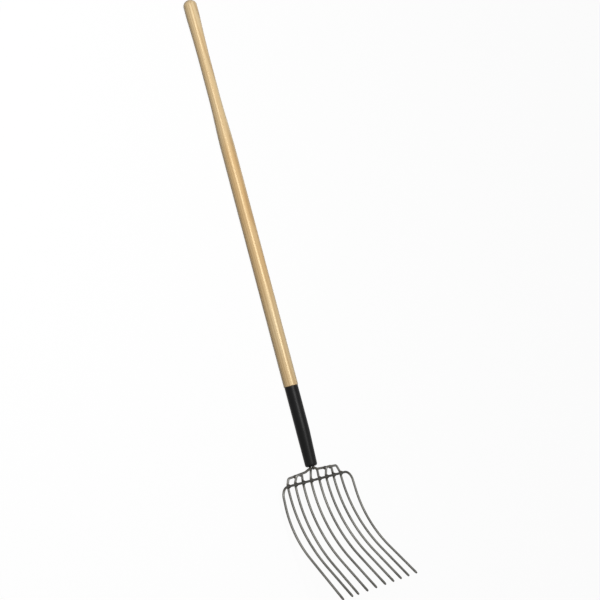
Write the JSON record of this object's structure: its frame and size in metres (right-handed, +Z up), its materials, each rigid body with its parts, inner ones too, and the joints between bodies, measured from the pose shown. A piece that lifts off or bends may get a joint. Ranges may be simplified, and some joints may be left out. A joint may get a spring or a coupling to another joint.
{
  "type": "manure fork",
  "caption": "Manure fork with a welded head of long curved round-bar tines, a bent black steel ferrule and a long turned wooden handle with a shaped grip.",
  "frame": {"origin": "on the ground under the middle of the fork, lying on its back", "axes": "+X from the grip to the tips, +Y across the tines from tine 1 to tine 10, +Z up, the way the tines curve"},
  "size_m": [1.5384, 0.3128, 0.1299],
  "materials": {
    "ash_wood": "turned ash, clear lacquer",
    "black_ferrule": "satin black paint",
    "pin_steel": "satin black paint",
    "tine_steel": "plain warm grey steel, oiled",
    "weld_steel": "dark weld metal"
  },
  "bodies": {
    "root": {"handle": "ash_wood", "ferrule": "black_ferrule", "ferrule_pin": "pin_steel", "frame_rod": "tine_steel", "shoulder_tine_2": "tine_steel", "shoulder_tine_9": "tine_steel", "centre_tine_5": "tine_steel", "centre_tine_6": "tine_steel", "hairpin_tines_3_4": "tine_steel", "hairpin_tines_7_8": "tine_steel", "crossbar_weld_2": "weld_steel", "crossbar_weld_3": "weld_steel", "crossbar_weld_4": "weld_steel", "crossbar_weld_5": "weld_steel", "crossbar_weld_6": "weld_steel", "crossbar_weld_7": "weld_steel", "crossbar_weld_8": "weld_steel", "crossbar_weld_9": "weld_steel", "shoulder_weld_3": "weld_steel", "shoulder_weld_4": "weld_steel", "shoulder_weld_7": "weld_steel", "shoulder_weld_8": "weld_steel", "neck_weld": "weld_steel", "neck_weld_2_5": "weld_steel", "neck_weld_6_9": "weld_steel"}
  },
  "joints": []
}
